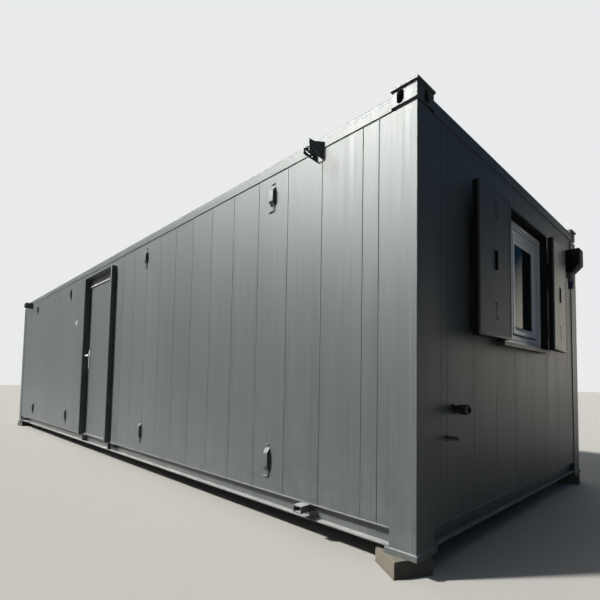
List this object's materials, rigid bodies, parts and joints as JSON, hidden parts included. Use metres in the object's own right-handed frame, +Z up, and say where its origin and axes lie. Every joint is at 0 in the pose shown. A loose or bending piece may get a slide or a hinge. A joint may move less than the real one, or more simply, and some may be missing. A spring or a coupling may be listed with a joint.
{
  "type": "portable site cabin",
  "caption": "Long steel site cabin with a side door, an end window with folding shutters, lifting corners, a channel base and blocks under its corners.",
  "frame": {"origin": "on the ground in the middle of the cabin's box, from the far end's plates to the inlet hood", "axes": "+X along the cabin to the end with the window, -Y to the long side with the door, +Z up"},
  "size_m": [9.916, 3.312, 2.584],
  "materials": {
    "grey_paint": "satin",
    "concrete": "rough",
    "timber": "matt",
    "floor_board": "matt",
    "roof_sheet": "satin",
    "white_plastic": "gloss",
    "window_glass": "gloss",
    "black_plastic": "satin",
    "bare_metal": "satin"
  },
  "bodies": {
    "cabin": {"support_blocks": "concrete", "base_plates": "grey_paint", "base_channels": "grey_paint", "floor_joists": "timber", "floor_board": "floor_board", "corner_posts": "grey_paint", "lifting_corner_front_left": "grey_paint", "lifting_corner_front_right": "grey_paint", "lifting_corner_back_left": "grey_paint", "lifting_corner_back_right": "grey_paint", "roof_rails": "grey_paint", "roof": "roof_sheet", "front_wall_left": "grey_paint", "front_wall_right": "grey_paint", "front_wall_over_door": "grey_paint", "back_wall": "grey_paint", "left_end_wall": "grey_paint", "window_wall_front": "grey_paint", "window_wall_back": "grey_paint", "window_wall_under": "grey_paint", "window_wall_over": "grey_paint", "door_surround": "grey_paint", "door_head_panel": "grey_paint", "door_threshold": "grey_paint", "door_jamb_knuckles": "grey_paint", "window_surround": "grey_paint", "window_sill": "grey_paint", "window_frame": "white_plastic", "window_sash": "white_plastic", "window_panes": "window_glass", "shutter_brackets": "grey_paint", "leg_hooks": "grey_paint", "leg_stubs": "grey_paint", "leg_sockets": "grey_paint", "step_sockets": "grey_paint", "waste_pipe": "black_plastic", "overflow_pipe": "black_plastic", "inlet_hood": "black_plastic", "wall_cap": "white_plastic"},
    "door": {"door_leaf": "grey_paint", "door_leaf_knuckles": "grey_paint", "handle_plate": "bare_metal"},
    "lever": {"door_lever": "bare_metal"},
    "shutter_front": {"shutter_front": "grey_paint"},
    "shutter_back": {"shutter_back": "grey_paint"}
  },
  "joints": [
    {"name": "door_hinge", "type": "hinge", "parent": "cabin", "child": "door", "pos_m": [0.403, -1.507, 1.275], "axis": [0, 0, 1], "range_deg": [0, 95]},
    {"name": "lever_turn", "type": "hinge", "parent": "door", "child": "lever", "pos_m": [-0.534, -1.499, 1.303], "axis": [0, 1, 0], "range_deg": [0, 40], "stiffness_Nm_per_rad": 1.5, "springref_deg": -22.92},
    {"name": "shutter_front_hinge", "type": "hinge", "parent": "cabin", "child": "shutter_front", "pos_m": [4.865, -0.506, 1.749], "axis": [0, 0, 1], "range_deg": [0, 183]},
    {"name": "shutter_back_hinge", "type": "hinge", "parent": "cabin", "child": "shutter_back", "pos_m": [4.865, 0.406, 1.749], "axis": [0, 0, -1], "range_deg": [0, 183]}
  ]
}
